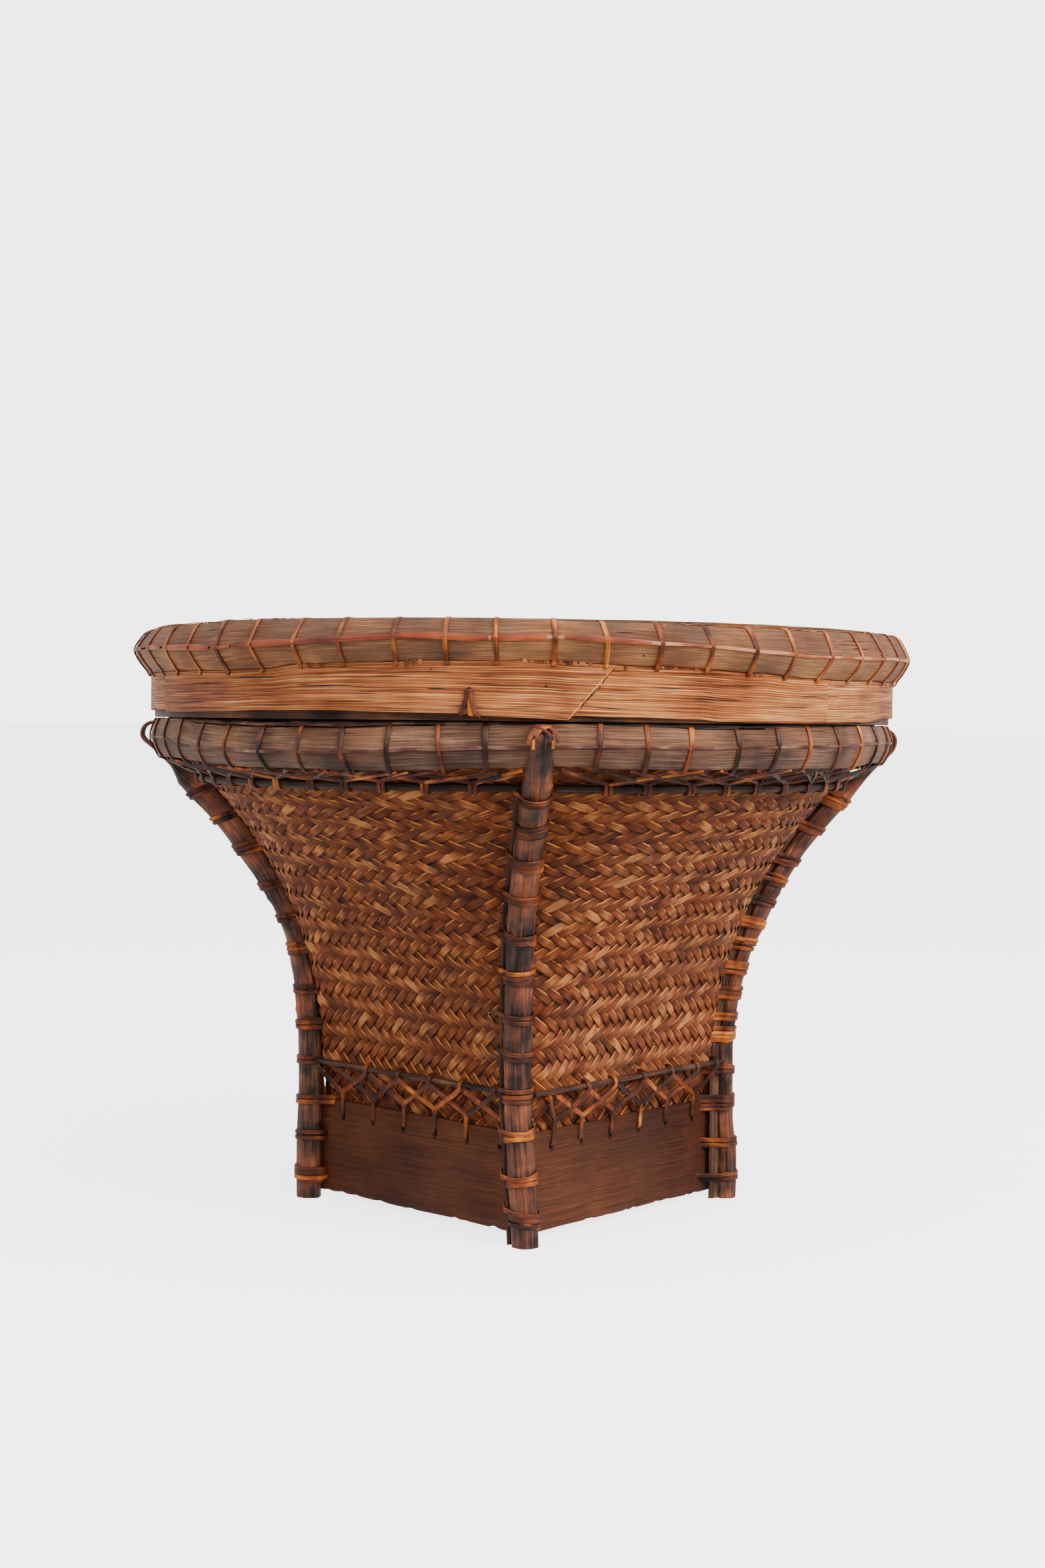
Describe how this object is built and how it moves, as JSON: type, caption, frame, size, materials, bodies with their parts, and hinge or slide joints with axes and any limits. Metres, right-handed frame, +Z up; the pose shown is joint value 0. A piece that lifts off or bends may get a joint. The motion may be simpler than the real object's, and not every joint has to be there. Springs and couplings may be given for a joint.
{
  "type": "bamboo steamer basket",
  "caption": "Square-footed round woven cane basket on four bamboo legs, with bound hoop rims and a lift-off lid with a woven top.",
  "frame": {"origin": "on the ground under the middle of the basket", "axes": "+Z up; the sides of the square foot are parallel to X and Y, with the front towards -Y and the right side towards +X"},
  "size_m": [0.4453, 0.4452, 0.3264],
  "materials": {
    "woven_cane": "aged split-cane twill, satin",
    "foot_board": "dark stained board with horizontal grain, dull satin",
    "leg_bamboo": "smoked split bamboo pole, worn satin",
    "binding_cane": "flat binding cane, satin",
    "dark_stick": "dark bamboo stick, dull",
    "rim_bamboo": "grey-brown bamboo strip, dull satin",
    "ridge_cane": "red-brown cane, glossy",
    "lid_bamboo": "brown bamboo strip, dull satin",
    "band_bamboo": "golden brown bamboo band with dark grain, satin"
  },
  "bodies": {
    "basket": {"woven_vessel": "woven_cane", "base_board_front": "foot_board", "base_board_right": "foot_board", "base_board_back": "foot_board", "base_board_left": "foot_board", "corner_leg_front_right": "leg_bamboo", "corner_leg_back_right": "leg_bamboo", "corner_leg_back_left": "leg_bamboo", "corner_leg_front_left": "leg_bamboo", "side_stick_front_right": "leg_bamboo", "side_stick_back_right": "leg_bamboo", "side_stick_back_left": "leg_bamboo", "side_stick_front_left": "leg_bamboo", "leg_binding_front_right": "binding_cane", "leg_binding_back_right": "binding_cane", "leg_binding_back_left": "binding_cane", "leg_binding_front_left": "binding_cane", "lower_rail_front": "dark_stick", "lower_rail_right": "dark_stick", "lower_rail_back": "dark_stick", "lower_rail_left": "dark_stick", "lower_lacing_front": "binding_cane", "lower_lacing_right": "binding_cane", "lower_lacing_back": "binding_cane", "lower_lacing_left": "binding_cane", "upper_rail_front": "dark_stick", "upper_rail_right": "dark_stick", "upper_rail_back": "dark_stick", "upper_rail_left": "dark_stick", "upper_lacing": "binding_cane", "rim_inner_hoop": "rim_bamboo", "rim_lower_strip": "rim_bamboo", "rim_upper_strip": "rim_bamboo", "rim_ridge_cane": "ridge_cane", "rim_cap_cane": "binding_cane", "rim_lashings": "binding_cane"},
    "lid": {"lid_inner_hoop": "lid_bamboo", "lid_band": "band_bamboo", "lid_band_tie": "binding_cane", "lid_woven_panel": "woven_cane", "lid_top_hoop": "lid_bamboo", "lid_lower_strip": "lid_bamboo", "lid_upper_strip": "lid_bamboo", "lid_ridge_cane": "ridge_cane", "lid_lashings": "binding_cane", "lid_knot": "binding_cane"}
  },
  "joints": [
    {"name": "lid_lift", "type": "slide", "parent": "basket", "child": "lid", "axis": [0, 0, 1], "range_m": [0, 0.12]}
  ]
}
